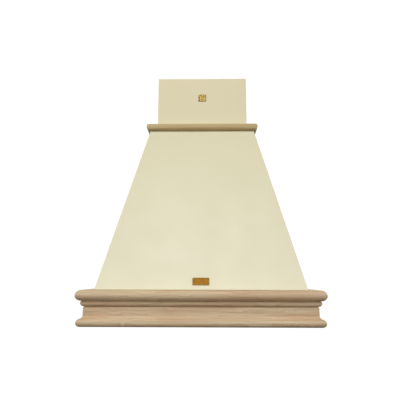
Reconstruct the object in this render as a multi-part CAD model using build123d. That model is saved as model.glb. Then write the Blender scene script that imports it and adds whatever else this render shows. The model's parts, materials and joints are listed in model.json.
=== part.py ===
from build123d import *
from math import acos, atan2, cos, degrees, hypot, sin, radians, sqrt
import os

# Wooden range hood cover with its extractor insert, hung on a wall. All sizes in millimetres.
# X runs to the right seen from the front, the wall is the plane Y = 0, the front faces -Y,
# and Z = 0 is the underside of the cornice.

# --- cornice: the moulding round the base ---
WIDTH = 600.0               # across the cornice noses
DEPTH = 500.0               # wall to the front cornice nose
CORNICE_H = 87.0
CORNICE_T = 34.0            # nose to the back of the moulding
TOP_BEAD_R = 13.0
QUIRK_H = 1.8               # narrow groove under the top bead
OVOLO_R = 8.0
OVOLO_INSET = 11.0          # ovolo face behind the nose
OVOLO_FLAT = 3.4            # upright part of the ovolo face
FASCIA_QUIRK_H = 1.5        # narrow groove under the ovolo
FASCIA_QUIRK_D = 2.0
FASCIA_INSET = 16.8
COVE_R = 8.0
BASE_BEAD_R = 9.8
BASE_BEAD_INSET = 3.5

# --- carcass and canopy boards ---
BOARD_T = 18.0
PANEL_T = 10.0
PANEL_SETBACK = 3.1         # panel face behind the base board's face
CANOPY_H = 476.0            # cornice top to the top trim
TOP_LEDGE = 19.0            # panel face out from the chimney opening, at the top
BATTEN_H = 40.0
HANG_RAIL_H = 40.0
HANG_RAIL_DROP = 2.0        # rail top below the motor box top
CORNER_BLOCK = 32.0
CORNER_BLOCK_GAP = 2.8      # above the tray's flange

# --- top trim: half-round moulding under the chimney ---
TRIM_H = 21.0
TRIM_NOSE = 11.3            # nose beyond the canopy panel

# --- telescopic chimney ---
CHIMNEY_W = 278.0
CHIMNEY_D = 241.5
CHIMNEY_L = 442.0
CHIMNEY_T = 10.0
CHIMNEY_FIT = 0.5           # gap all round in the canopy's opening
BRACKET_H = 30.0
BRACKET_T = 1.5
BRACKET_TAB = 30.0
BRACKET_DROP = 12.0         # below the chimney's top edge

# --- wall screws ---
WALL_HOLE_R = 4.0
LOWER_HOLE_SPACING = 400.0
LOWER_HOLE_Z = 62.0
UPPER_HOLE_SPACING = 300.0
BRACKET_HOLE_R = 3.0
BRACKET_HOLE_SPACING = 160.0

# --- brass plates ---
BADGE_W = 42.0
BADGE_H = 19.5
BADGE_T = 1.6
BADGE_RIM = 2.6
BADGE_RIM_T = 0.6
BADGE_CORNER = 2.2
BADGE_RISE = 21.5           # badge centre above the cornice, along the panel
EMBLEM_W = 24.0
EMBLEM_H = 22.5
EMBLEM_T = 2.0
EMBLEM_BEVEL = 0.9
EMBLEM_DROP = 65.0          # centre below the chimney's top edge

# --- liner tray ---
SHEET_T = 1.2
TRAY_Z = 22.0               # underside of the tray
TRAY_FLANGE = 24.0
FRONT_STRIP = 82.0          # board to the filter apertures
REAR_STRIP = 22.5
SIDE_STRIP = 11.0
CENTRE_RIB = 6.0

# --- grease filters ---
FILTER_GAP = 1.5            # filter to the sides and front of its aperture
FILTER_H = 9.0
FILTER_RIM = 11.0
FILTER_SHEET = 1.2
MESH_COLUMNS = 9
MESH_ROWS = 11
MESH_BAR = 3.2              # metal left between two openings
TONGUE_W = 20.0
TONGUE_T = 1.5
TONGUE_SPAN = 140.0
TONGUE_REACH = 4.5          # tongue tip beyond the aperture's edge
HINGE_BACK = 2.0            # hinge line behind the filter's rear face
HINGE_BEAD_R = 1.2          # rib pressed in each tongue, about the hinge line
SEAT_GAP = 0.3              # free play where a moving piece sits
LATCH_W = 30.0
LATCH_L = 23.5
LATCH_REACH = 3.5
LATCH_TRAVEL = 7.0
LATCH_PAD_W = 18.0
LATCH_PAD_L = 8.0
LATCH_PAD_SETBACK = 6.5     # pad behind the filter's front face
LATCH_PAD_DROP = 3.5
LATCH_FIT = 0.4
POCKET_W = 44.0
POCKET_L = 27.5

# --- lamps ---
LAMP_SETBACK = 78.0         # side board to the lamp's centre
LAMP_FLANGE_R = 34.0
LAMP_FLANGE_T = 1.4
LAMP_BARREL_R = 30.8
LAMP_BARREL_H = 18.0
LAMP_WALL = 1.8
LAMP_LIP = 2.7
LAMP_FIT = 0.3
LAMP_CLIP_W = 9.0           # spring clips that hold each lamp in the tray
LAMP_CLIP_T = 1.2
LAMP_CLIP_H = 11.0
LAMP_CLIP_REACH = 7.0
LENS_T = 2.0

# --- push buttons ---
BUTTON_NAMES = ["light_button", "off_button", "speed_1_button", "speed_2_button", "speed_3_button"]
BUTTON_PITCH = 26.0
BUTTON_W = 16.0
BUTTON_D = 12.0
BUTTON_DROP = 3.0           # below the bezel
BUTTON_FLANGE = 1.5
BUTTON_FLANGE_T = 1.8
BUTTON_STEM_R = 3.0
BUTTON_STEM_H = 9.0
BUTTON_TRAVEL = 3.5
BUTTON_FIT = 0.3
BEZEL_T = 2.2
BEZEL_W = 146.0
BEZEL_D = 28.0
SWITCH_W = 136.0
SWITCH_D = 24.0
SWITCH_H = 20.0

# --- motor box ---
BOX_MARGIN = 2.5            # inside the box wall beyond the filter apertures
BOX_FRONT_MARGIN = 8.8
BOX_REAR = 30.0             # wall to the box
PLENUM_H = 72.0
SHOULDER_H = 55.0
BOX_HALF_W = 150.0
BOX_FRONT = 315.0
BOX_TOP = 300.0

# --- blower ---
FAN_BACK = 200.0            # fan axis from the wall
FAN_Z = 170.0
FAN_R = 77.5
FAN_INNER_R = 62.0
FAN_HALF_W = 50.0
FAN_RING_W = 2.5
FAN_RING_T = 6.5
FAN_DISC_T = 1.5
BLADES = 28
BLADE_T = 1.0
BLADE_BOW = 2.6             # degrees that the blade bows back at mid height
BLADE_SWEEP = 1.0           # degrees that its tip leans forward
HUB_R = 12.0
HUB_HALF_L = 10.0
SHAFT_R = 4.0
SHAFT_FIT = 0.05
SHAFT_IN_MOTOR = 48.0
SCROLL_HALF_W = 62.0
SCROLL_STEP = 12.0          # growth of the scroll radius per quarter turn
SCROLL_R = 82.0             # radius of its first arc, by the tongue
TONGUE_OFFSET = 38.0        # outlet's front wall behind the fan axis
INLET_R = 56.0
INLET_LIP = 6.0
MOTOR_R = 42.0
MOTOR_L = 78.0
MOTOR_HUB_GAP = 4.0
MOTOR_BOSS_R = 12.0
MOTOR_BOSS_L = 3.0
CLAMP_T = 3.0
CLAMP_W = 12.0
ARM_W = 12.0
ARM_T = 4.0
ARM_FOOT_R = 68.0
ARM_FOOT_T = 6.0

# --- duct collar and back-draught damper ---
COLLAR_R = 74.5
COLLAR_T = 1.5
COLLAR_L = 40.0
COLLAR_FLANGE_R = 88.0
COLLAR_SCREW_R = 82.5
ROD_R = 2.0
ROD_RISE = 14.0             # rod above the collar's flange
ROD_SHORT = 0.1             # rod end behind the collar's outside
FLAP_GAP = 1.5
FLAP_T = 1.2
KNUCKLE_R = 3.4
KNUCKLE_W = 14.0
KNUCKLE_X = (-45.0, 15.0)
KNUCKLE_FIT = 0.15
FLAP_START = 4.2            # flap plate from the rod's axis

# --- terminal box and cable gland ---
TERMINAL_X = 30.0
TERMINAL_Y = 70.0
TERMINAL_H = 60.0
TERMINAL_BACK = 100.0       # wall to the terminal box
TERMINAL_Z = 180.0
TERMINAL_CORNER = 3.0
LID_T = 3.0
LID_GROOVE = 0.8
GLAND_HEX = 20.0
GLAND_HEX_T = 5.0
GLAND_R = 8.0
GLAND_L = 12.0
GLAND_BORE_R = 3.5
GLAND_DOME = 3.0

# --- screws ---
FRAME_SCREW_R = 2.1
FRAME_SCREW_L = 50.0
FRAME_SCREW_HEAD_R = 4.0
FRAME_SCREW_Z = (22.0, 64.0)
SMALL_SCREW_R = 1.9
SMALL_SCREW_L = 12.0
SMALL_HEAD_R = 4.0
SMALL_HEAD_T = 2.0
TRAY_SCREW_Z = 38.0
TRAY_SCREW_X = 120.0
TRAY_SCREW_Y = 130.0
CHIMNEY_SCREW_BACK = 16.0

# --- worked out from the sizes above ---
half_w = WIDTH / 2
board_x = half_w - CORNICE_T                      # outside of the base boards
board_y = DEPTH - CORNICE_T
cavity_x = board_x - BOARD_T                      # inside of the base boards
cavity_y = board_y - BOARD_T
canopy_top = CORNICE_H + CANOPY_H
opening_x = CHIMNEY_W / 2 + CHIMNEY_FIT           # hole that the chimney slides in
opening_y = CHIMNEY_D + CHIMNEY_FIT
base_face_x = board_x - PANEL_SETBACK
base_face_y = board_y - PANEL_SETBACK
top_face_x = opening_x + TOP_LEDGE
top_face_y = opening_y + TOP_LEDGE
side_slope = (base_face_x - top_face_x) / CANOPY_H
front_slope = (base_face_y - top_face_y) / CANOPY_H
side_run = PANEL_T * hypot(1, side_slope)         # panel thickness measured level
front_run = PANEL_T * hypot(1, front_slope)
chimney_z = BOX_TOP + SEAT_GAP
chimney_top = chimney_z + CHIMNEY_L
bracket_z = chimney_top - BRACKET_DROP - BRACKET_H
tray_top = TRAY_Z + SHEET_T
lamp_x = cavity_x - LAMP_SETBACK
strip_y = -(cavity_y + cavity_y - FRONT_STRIP + BOX_FRONT_MARGIN) / 2
aperture_front = -(cavity_y - FRONT_STRIP)
aperture_rear = -(BOARD_T + REAR_STRIP)
aperture_x0 = CENTRE_RIB / 2
aperture_x1 = cavity_x - SIDE_STRIP
filter_x0 = aperture_x0 + FILTER_GAP
filter_x1 = aperture_x1 - FILTER_GAP
filter_x = (filter_x0 + filter_x1) / 2
filter_front = aperture_front + FILTER_GAP
filter_rear = aperture_rear - FILTER_GAP - HINGE_BACK
seat_z = tray_top + SEAT_GAP                      # underside of tongues and latches
box_x = aperture_x1 + BOX_MARGIN + SHEET_T
box_front = -(cavity_y - FRONT_STRIP + BOX_FRONT_MARGIN + SHEET_T)
shoulder_z = tray_top + PLENUM_H
neck_z = shoulder_z + SHOULDER_H
fan_y = -FAN_BACK
scroll_rear = fan_y + SCROLL_STEP / 2 + SCROLL_R + 3 * SCROLL_STEP
scroll_throat = fan_y + TONGUE_OFFSET
collar_y = (scroll_rear + scroll_throat) / 2
collar_z = BOX_TOP + SHEET_T
rod_z = collar_z + ROD_RISE
motor_end = -(HUB_HALF_L + MOTOR_HUB_GAP)


def block(x0, x1, y0, y1, z0, z1):
    """Box between two corners."""
    centre = ((x0 + x1) / 2, (y0 + y1) / 2, (z0 + z1) / 2)
    return Pos(*centre) * Box(x1 - x0, y1 - y0, z1 - z0)


def prismatoid(bottom, top, z0, z1):
    """Flat-sided solid between two plan outlines that have the same number of corners."""
    low = [Vector(x, y, z0) for x, y in bottom]
    high = [Vector(x, y, z1) for x, y in top]
    faces = [Face(Wire.make_polygon(low)), Face(Wire.make_polygon(high))]
    for i in range(len(low)):
        j = (i + 1) % len(low)
        faces.append(Face(Wire.make_polygon([low[i], low[j], high[j], high[i]])))
    return Solid(Shell(faces))


def prism(outline, z0, z1):
    return prismatoid(outline, outline, z0, z1)


def mirrored(shape):
    """The same piece on the other side of the centre line."""
    return mirror(shape, about=Plane.YZ)


def rod_x(radius, x0, x1, y=0.0, z=0.0):
    """Cylinder along X."""
    return Pos((x0 + x1) / 2, y, z) * Rot(0, 90, 0) * Cylinder(radius, x1 - x0)


def rod_y(radius, y0, y1, x=0.0, z=0.0):
    """Cylinder along Y."""
    return Pos(x, (y0 + y1) / 2, z) * Rot(90, 0, 0) * Cylinder(radius, y1 - y0)


def rod_upright(radius, z0, z1, x=0.0, y=0.0):
    return Pos(x, y, (z0 + z1) / 2) * Cylinder(radius, z1 - z0)


# --- mouldings ---

def cornice_section():
    """Section in (inset from the nose, height): bead, quirk, ovolo, quirk, fascia, cove, bead."""
    quirk_top = CORNICE_H - 2 * TOP_BEAD_R
    ovolo_top = quirk_top - QUIRK_H
    ovolo_centre = (OVOLO_INSET + OVOLO_R, ovolo_top - OVOLO_FLAT)
    groove_u = FASCIA_INSET + FASCIA_QUIRK_D
    ovolo_turn = degrees(acos((ovolo_centre[0] - groove_u) / OVOLO_R))
    bead_centre = (BASE_BEAD_INSET + BASE_BEAD_R, BASE_BEAD_R)
    cove_u = FASCIA_INSET - COVE_R
    shift = bead_centre[0] - cove_u
    rise = sqrt((BASE_BEAD_R + COVE_R) ** 2 - shift ** 2)
    cove_centre = (cove_u, bead_centre[1] + rise)
    meet = degrees(atan2(rise, -shift))           # where cove and base bead touch
    top_bead = CenterArc((TOP_BEAD_R, CORNICE_H - TOP_BEAD_R), TOP_BEAD_R, 90, 180)
    quirk = Polyline(top_bead @ 1, (TOP_BEAD_R, ovolo_top), (OVOLO_INSET, ovolo_top),
                     (OVOLO_INSET, ovolo_centre[1]))
    ovolo = CenterArc(ovolo_centre, OVOLO_R, 180, ovolo_turn)
    cove = CenterArc(cove_centre, COVE_R, 0, meet - 180)
    groove_z = (ovolo @ 1).Y - FASCIA_QUIRK_H
    fascia = Polyline(ovolo @ 1, (groove_u, groove_z), (FASCIA_INSET, groove_z), cove @ 0)
    base_bead = CenterArc(bead_centre, BASE_BEAD_R, meet, 270 - meet)
    back = Polyline(base_bead @ 1, (CORNICE_T, 0), (CORNICE_T, CORNICE_H), top_bead @ 0)
    return make_face([top_bead, quirk, ovolo, fascia, cove, base_bead, back])


def trim_section():
    """Half-round nose on a flat strip that reaches in to the chimney opening."""
    radius = TRIM_H / 2
    nose = CenterArc((radius, radius), radius, 90, 180)
    strip_w = TOP_LEDGE + TRIM_NOSE
    back = Polyline(nose @ 1, (strip_w, 0), (strip_w, TRIM_H), nose @ 0)
    return make_face([nose, back])


def mitred_moulding(section, nose_x, nose_y, width, z0, height):
    """Front, left and right lengths of a moulding, cut to meet on their mitres."""
    corners = [(-nose_x, -nose_y), (nose_x, -nose_y),
               (nose_x - width, width - nose_y), (width - nose_x, width - nose_y)]
    side = [(nose_x, -nose_y), (nose_x, 0), (nose_x - width, 0), (nose_x - width, width - nose_y)]
    front_plane = Plane(origin=(-nose_x, -nose_y, z0), x_dir=(0, 1, 0), z_dir=(1, 0, 0))
    side_plane = Plane(origin=(nose_x, -nose_y, z0), x_dir=(-1, 0, 0), z_dir=(0, 1, 0))
    front = extrude(front_plane * section, 2 * nose_x) & prism(corners, z0, z0 + height)
    right = extrude(side_plane * section, nose_y) & prism(side, z0, z0 + height)
    return front, mirrored(right), right


# --- carcass and canopy ---

def face_x(z):
    """Outside of the side panel at a height, from the centre line."""
    return base_face_x - side_slope * (z - CORNICE_H)


def face_y(z):
    """Outside of the front panel at a height, as a Y coordinate."""
    return -(base_face_y - front_slope * (z - CORNICE_H))


def inner_x(z):
    return face_x(z) - side_run


def inner_y(z):
    return face_y(z) + front_run


def front_panel():
    outlines = []
    for z in (CORNICE_H, canopy_top):
        outlines.append([(-face_x(z), face_y(z)), (face_x(z), face_y(z)),
                         (inner_x(z), inner_y(z)), (-inner_x(z), inner_y(z))])
    return prismatoid(*outlines, CORNICE_H, canopy_top)


def right_panel():
    outlines = []
    for z in (CORNICE_H, canopy_top):
        outlines.append([(face_x(z), face_y(z)), (face_x(z), 0),
                         (inner_x(z), 0), (inner_x(z), inner_y(z))])
    return prismatoid(*outlines, CORNICE_H, canopy_top)


def countersunk_screw():
    """Wood screw along +Z, its head flush with the plane Z = 0."""
    head_h = FRAME_SCREW_HEAD_R - FRAME_SCREW_R
    head = Pos(0, 0, head_h / 2) * Cone(FRAME_SCREW_HEAD_R, FRAME_SCREW_R, head_h)
    return head + rod_upright(FRAME_SCREW_R, head_h, FRAME_SCREW_L)


def pan_screw(grip):
    """Pan-head screw along +Z with its head below Z = 0."""
    shank = rod_upright(SMALL_SCREW_R, 0, grip + SMALL_SCREW_L)
    head = rod_upright(SMALL_HEAD_R, -SMALL_HEAD_T, 0)
    rim = head.edges().group_by(Axis.Z)[0]
    return fillet(rim, SMALL_HEAD_T / 2) + shank


def frame_screws():
    """Front board into the side boards, and side boards into the rear rail."""
    screws = []
    for z in FRAME_SCREW_Z:
        for sign in (-1, 1):
            x = sign * (board_x - BOARD_T / 2)
            screws.append(Pos(x, -board_y, z) * Rot(-90, 0, 0) * countersunk_screw())
            y = -BOARD_T / 2
            screws.append(Pos(sign * board_x, y, z) * Rot(0, -90 * sign, 0) * countersunk_screw())
    return screws


def wall_holes(spacing, z, radius, depth):
    return [rod_y(radius, -depth - 1, 1, x=sign * spacing / 2, z=z) for sign in (-1, 1)]


def base_boards(screws, pilots):
    cuts = screws + pilots
    front = block(-board_x, board_x, -board_y, -cavity_y, 0, CORNICE_H) - cuts
    right = block(cavity_x, board_x, -cavity_y, 0, 0, CORNICE_H)
    left = mirrored(right) - cuts
    rail = block(-cavity_x, cavity_x, -BOARD_T, 0, 0, CORNICE_H) - cuts
    rail -= wall_holes(LOWER_HOLE_SPACING, LOWER_HOLE_Z, WALL_HOLE_R, BOARD_T)
    return front, left, right - cuts, rail


def top_battens():
    """Tapered battens that join the panels' top edges and guide the chimney."""
    z0 = canopy_top - BATTEN_H
    front = []
    right = []
    for z in (z0, canopy_top):
        front.append([(-inner_x(z), inner_y(z)), (inner_x(z), inner_y(z)),
                      (inner_x(z), -opening_y), (-inner_x(z), -opening_y)])
        right.append([(opening_x, -opening_y), (inner_x(z), -opening_y),
                      (inner_x(z), 0), (opening_x, 0)])
    side = prismatoid(*right, z0, canopy_top)
    return prismatoid(*front, z0, canopy_top), mirrored(side), side


def hanging_rail():
    z1 = BOX_TOP - HANG_RAIL_DROP
    z0 = z1 - HANG_RAIL_H
    ends = []
    for z in (z0, z1):
        ends.append([(-inner_x(z), -BOARD_T), (inner_x(z), -BOARD_T), (inner_x(z), 0),
                     (-inner_x(z), 0)])
    rail = prismatoid(*ends, z0, z1)
    return rail - wall_holes(UPPER_HOLE_SPACING, (z0 + z1) / 2, WALL_HOLE_R, BOARD_T)


def corner_blocks():
    """Three-cornered glue blocks in the front corners of the base."""
    outline = [(cavity_x, -cavity_y), (cavity_x, CORNER_BLOCK - cavity_y),
               (cavity_x - CORNER_BLOCK, -cavity_y)]
    right = prism(outline, tray_top + TRAY_FLANGE + CORNER_BLOCK_GAP, CORNICE_H)
    return [mirrored(right), right]


# --- brass plates ---

def badge_plate():
    """Bare plate with a raised rim, flat on the leaning front panel."""
    lean = Vector(0, front_slope, 1).normalized()
    foot = Vector(0, -base_face_y, CORNICE_H)
    outward = Vector(0, -1, front_slope)
    plane = Plane(origin=foot + lean * BADGE_RISE, x_dir=(1, 0, 0), z_dir=outward)
    plate = extrude(plane * RectangleRounded(BADGE_W, BADGE_H, BADGE_CORNER), BADGE_T)
    field = RectangleRounded(BADGE_W - 2 * BADGE_RIM, BADGE_H - 2 * BADGE_RIM, BADGE_CORNER / 2)
    return plate - extrude(plane.offset(BADGE_T - BADGE_RIM_T) * field, BADGE_RIM_T)


def emblem_plate():
    """Bare bevelled plate near the top of the chimney."""
    z = chimney_top - EMBLEM_DROP
    plate = block(-EMBLEM_W / 2, EMBLEM_W / 2, -CHIMNEY_D - EMBLEM_T, -CHIMNEY_D,
                  z - EMBLEM_H / 2, z + EMBLEM_H / 2)
    return chamfer(plate.faces().sort_by(Axis.Y)[0].edges(), EMBLEM_BEVEL)


# --- chimney ---

def chimney_boards(screws):
    x = CHIMNEY_W / 2
    inner = x - CHIMNEY_T
    front = [(-x, -CHIMNEY_D), (x, -CHIMNEY_D), (inner, CHIMNEY_T - CHIMNEY_D),
             (-inner, CHIMNEY_T - CHIMNEY_D)]
    side = [(x, -CHIMNEY_D), (x, 0), (inner, 0), (inner, CHIMNEY_T - CHIMNEY_D)]
    right = prism(side, chimney_z, chimney_top)
    return prism(front, chimney_z, chimney_top), mirrored(right) - screws, right - screws


def chimney_bracket(screws):
    """Bent strip behind the chimney's top: wall plate and two side tabs."""
    x = CHIMNEY_W / 2 - CHIMNEY_T
    z1 = bracket_z + BRACKET_H
    plate = block(-x, x, -BRACKET_T, 0, bracket_z, z1)
    tab = block(x - BRACKET_T, x, -BRACKET_TAB, 0, bracket_z, z1)
    bracket = plate + tab + mirrored(tab)
    z = bracket_z + BRACKET_H / 2
    return bracket - screws - wall_holes(BRACKET_HOLE_SPACING, z, BRACKET_HOLE_R, BRACKET_T)


def chimney_screws():
    z = bracket_z + BRACKET_H / 2
    x = CHIMNEY_W / 2
    screws = []
    for sign in (-1, 1):
        place = Pos(sign * x, -CHIMNEY_SCREW_BACK, z) * Rot(0, -90 * sign, 0)
        screws.append(place * pan_screw(0.0))
    return screws


# --- liner tray ---

def tray_screws():
    """Pan heads inside the tray's flange, shanks in the base boards."""
    screws = []
    x = cavity_x - SHEET_T
    front = SHEET_T - cavity_y
    rear = -BOARD_T - SHEET_T
    for sign in (-1, 1):
        for y in (-TRAY_SCREW_Y, TRAY_SCREW_Y - cavity_y):
            place = Pos(sign * x, y, TRAY_SCREW_Z) * Rot(0, 90 * sign, 0)
            screws.append(place * pan_screw(SHEET_T))
        for y, turn in ((front, 90), (rear, -90)):
            place = Pos(sign * TRAY_SCREW_X, y, TRAY_SCREW_Z) * Rot(turn, 0, 0)
            screws.append(place * pan_screw(SHEET_T))
    return screws


def button_slot():
    reach = 2 * BUTTON_PITCH + BUTTON_W / 2 + BUTTON_FLANGE + BUTTON_FIT
    width = BUTTON_D / 2 + BUTTON_FLANGE + BUTTON_FIT
    return block(-reach, reach, strip_y - width, strip_y + width, TRAY_Z, tray_top)


def liner_tray(screws):
    """Folded sheet with an upturned flange, two filter apertures, lamp holes and a button slot."""
    outer = block(-cavity_x, cavity_x, -cavity_y, -BOARD_T, TRAY_Z, tray_top + TRAY_FLANGE)
    inner = block(SHEET_T - cavity_x, cavity_x - SHEET_T, SHEET_T - cavity_y, -BOARD_T - SHEET_T,
                  tray_top, tray_top + TRAY_FLANGE)
    aperture = block(aperture_x0, aperture_x1, aperture_front, aperture_rear, TRAY_Z, tray_top)
    cuts = [inner, aperture, mirrored(aperture), button_slot()]
    for sign in (-1, 1):
        cuts.append(rod_upright(LAMP_BARREL_R, TRAY_Z, tray_top, sign * lamp_x, strip_y))
    return outer - cuts - screws


# --- filters: the right-hand one is modelled, the left one mirrored ---

def filter_frame():
    """Folded channel round the mesh, rear hanging tongues and the latch pocket."""
    z0 = TRAY_Z
    z1 = TRAY_Z + FILTER_H
    sheet = FILTER_SHEET
    frame = block(filter_x0, filter_x1, filter_front, filter_rear, z0, z1)
    frame -= block(filter_x0 + sheet, filter_x1 - sheet, filter_front + sheet, filter_rear - sheet,
                   z0 + sheet, z1 - sheet)
    frame -= block(filter_x0 + FILTER_RIM, filter_x1 - FILTER_RIM, filter_front + FILTER_RIM,
                   filter_rear - FILTER_RIM, z0, z1)
    half = POCKET_W / 2
    pocket_rear = filter_front + POCKET_L
    pocket = block(filter_x - half, filter_x + half, filter_front, pocket_rear, z0, z1)
    pocket -= block(filter_x - half + sheet, filter_x + half - sheet, filter_front + sheet,
                    pocket_rear - sheet, z0 + sheet, z1 - sheet)
    frame += pocket
    pad0 = filter_front + LATCH_PAD_SETBACK - LATCH_FIT
    pad1 = filter_front + LATCH_PAD_SETBACK + LATCH_PAD_L + LATCH_TRAVEL + LATCH_FIT
    pad_half = LATCH_PAD_W / 2 + LATCH_FIT
    frame -= block(filter_x - pad_half, filter_x + pad_half, pad0, pad1, z0, z0 + sheet)
    slot_half = LATCH_W / 2 + LATCH_FIT
    frame -= block(filter_x - slot_half, filter_x + slot_half, filter_front, filter_front + sheet,
                   z0 + sheet, seat_z + TONGUE_T + LATCH_FIT)
    for sign in (-1, 1):
        x = filter_x + sign * TONGUE_SPAN / 2
        frame += block(x - TONGUE_W / 2, x + TONGUE_W / 2, filter_rear - sheet,
                       aperture_rear + TONGUE_REACH, seat_z, seat_z + TONGUE_T)
        frame += rod_x(HINGE_BEAD_R, x - TONGUE_W / 2, x + TONGUE_W / 2, filter_rear + HINGE_BACK,
                       seat_z)
    return frame


def filter_mesh():
    """Mesh pack inside the channel, with lozenge openings and a corner cut for the latch."""
    sheet = FILTER_SHEET
    z0 = TRAY_Z + sheet
    z1 = TRAY_Z + FILTER_H - sheet
    pack = block(filter_x0 + sheet, filter_x1 - sheet, filter_front + sheet, filter_rear - sheet,
                 z0, z1)
    half = POCKET_W / 2
    pack -= block(filter_x - half, filter_x + half, filter_front, filter_front + POCKET_L, z0, z1)
    window_x = filter_x1 - filter_x0 - 2 * FILTER_RIM
    window_y0 = filter_front + POCKET_L
    window_y1 = filter_rear - FILTER_RIM
    pitch_x = window_x / MESH_COLUMNS
    pitch_y = (window_y1 - window_y0) / MESH_ROWS
    hole_x = pitch_x / 2 - MESH_BAR / 2
    hole_y = pitch_y / 2 - MESH_BAR / 2
    lozenge = Polygon((hole_x, 0), (0, hole_y), (-hole_x, 0), (0, -hole_y), align=None)
    hole = Pos(filter_x, (window_y0 + window_y1) / 2, z0) * extrude(lozenge, z1 - z0)
    grid = GridLocations(pitch_x, pitch_y, MESH_COLUMNS, MESH_ROWS)
    return pack - [place * hole for place in grid]


def filter_latch():
    """Sliding tongue with a finger pad below."""
    front = aperture_front - LATCH_REACH
    slide = block(filter_x - LATCH_W / 2, filter_x + LATCH_W / 2, front, front + LATCH_L,
                  seat_z, seat_z + TONGUE_T)
    pad0 = filter_front + LATCH_PAD_SETBACK
    pad = block(filter_x - LATCH_PAD_W / 2, filter_x + LATCH_PAD_W / 2, pad0, pad0 + LATCH_PAD_L,
                TRAY_Z - LATCH_PAD_DROP, seat_z)
    return slide + pad


# --- lamps ---

def lamp_bezel():
    """Flanged ring below the tray with a closed barrel above it."""
    z0 = TRAY_Z - LAMP_FLANGE_T
    z1 = tray_top + LAMP_BARREL_H
    lens_r = LAMP_BARREL_R - LAMP_WALL
    flange = rod_upright(LAMP_FLANGE_R, z0, TRAY_Z)
    flange = chamfer(flange.edges().group_by(Axis.Z)[0], LAMP_FLANGE_T / 2)
    body = flange + rod_upright(LAMP_BARREL_R, TRAY_Z, z1)
    body -= rod_upright(lens_r, TRAY_Z, z1 - LAMP_WALL)
    body -= rod_upright(lens_r - LAMP_LIP, z0, TRAY_Z)
    clip = lamp_clip()
    return Pos(lamp_x, strip_y, 0) * (body + clip + mirrored(clip))


def lamp_clip():
    """Sloping leg from the barrel's side down to the top of the tray."""
    root = LAMP_BARREL_R - LAMP_WALL / 2
    tip = LAMP_BARREL_R + LAMP_CLIP_REACH
    top = tray_top + LAMP_CLIP_H
    outline = Polyline((root, top), (root, top - 2 * LAMP_CLIP_T), (tip - LAMP_CLIP_T, tray_top),
                       (tip, tray_top), (tip, tray_top + LAMP_CLIP_T), close=True)
    return extrude(Plane.XZ * make_face(outline), LAMP_CLIP_W / 2, both=True)


def lamp_lens():
    lens_r = LAMP_BARREL_R - LAMP_WALL - LAMP_FIT
    return rod_upright(lens_r, TRAY_Z, TRAY_Z + LENS_T, lamp_x, strip_y)


# --- buttons ---

def button_places():
    return [(i - 2) * BUTTON_PITCH for i in range(len(BUTTON_NAMES))]


def button_bezel():
    z0 = TRAY_Z - BEZEL_T
    plate = Pos(0, strip_y, z0) * extrude(RectangleRounded(BEZEL_W, BEZEL_D, BEZEL_D / 4), BEZEL_T)
    plate = chamfer(plate.edges().group_by(Axis.Z)[0], BEZEL_T / 3)
    half_x = BUTTON_W / 2 + BUTTON_FIT
    half_y = BUTTON_D / 2 + BUTTON_FIT
    for x in button_places():
        plate -= block(x - half_x, x + half_x, strip_y - half_y, strip_y + half_y, z0, TRAY_Z)
    return plate


def push_button(x):
    """Cap below the bezel, flange that stops it dropping out, and a stem up into the switch."""
    z0 = TRAY_Z - BEZEL_T - BUTTON_DROP
    z1 = TRAY_Z + BUTTON_FIT
    z2 = z1 + BUTTON_FLANGE_T
    half_x = BUTTON_W / 2
    half_y = BUTTON_D / 2
    cap = block(x - half_x, x + half_x, strip_y - half_y, strip_y + half_y, z0, z1)
    cap = fillet(cap.edges().group_by(Axis.Z)[0], BUTTON_DROP / 3)
    grow = BUTTON_FLANGE
    flange = block(x - half_x - grow, x + half_x + grow, strip_y - half_y - grow,
                   strip_y + half_y + grow, z1, z2)
    return cap + flange + rod_upright(BUTTON_STEM_R, z2, z2 + BUTTON_STEM_H, x, strip_y)


def switch_block():
    z1 = tray_top + SWITCH_H
    body = block(-SWITCH_W / 2, SWITCH_W / 2, strip_y - SWITCH_D / 2, strip_y + SWITCH_D / 2,
                 tray_top, z1)
    flange_top = TRAY_Z + BUTTON_FIT + BUTTON_FLANGE_T
    pocket_z = flange_top + BUTTON_TRAVEL + BUTTON_FIT
    stem_z = flange_top + BUTTON_STEM_H + BUTTON_TRAVEL + BUTTON_FIT
    half_x = BUTTON_W / 2 + BUTTON_FLANGE + BUTTON_FIT
    half_y = BUTTON_D / 2 + BUTTON_FLANGE + BUTTON_FIT
    for x in button_places():
        body -= block(x - half_x, x + half_x, strip_y - half_y, strip_y + half_y,
                      tray_top, pocket_z)
        body -= rod_upright(BUTTON_STEM_R + BUTTON_FIT, pocket_z, stem_z, x, strip_y)
    return body


# --- motor box and blower ---

def box_shape(inset, z_floor):
    """Plenum, sloping shoulder and neck, each drawn in by the sheet thickness for the inside."""
    wide = box_x - inset
    narrow = BOX_HALF_W - inset
    rear = -BOX_REAR - inset
    front = box_front + inset
    neck_front = inset - BOX_FRONT
    low = [(-wide, front), (wide, front), (wide, rear), (-wide, rear)]
    high = [(-narrow, neck_front), (narrow, neck_front), (narrow, rear), (-narrow, rear)]
    plenum = prism(low, z_floor, shoulder_z)
    shoulder = prismatoid(low, high, shoulder_z, neck_z)
    neck = prism(high, neck_z, BOX_TOP - inset)
    return Part() + [plenum, shoulder, neck]


def motor_box(screws):
    box = box_shape(0.0, tray_top) - box_shape(SHEET_T, tray_top)
    half = SCROLL_HALF_W - SHEET_T
    outlet = block(-half, half, scroll_throat + SHEET_T, scroll_rear - SHEET_T,
                   BOX_TOP - SHEET_T, BOX_TOP)
    return box - outlet - screws


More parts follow.
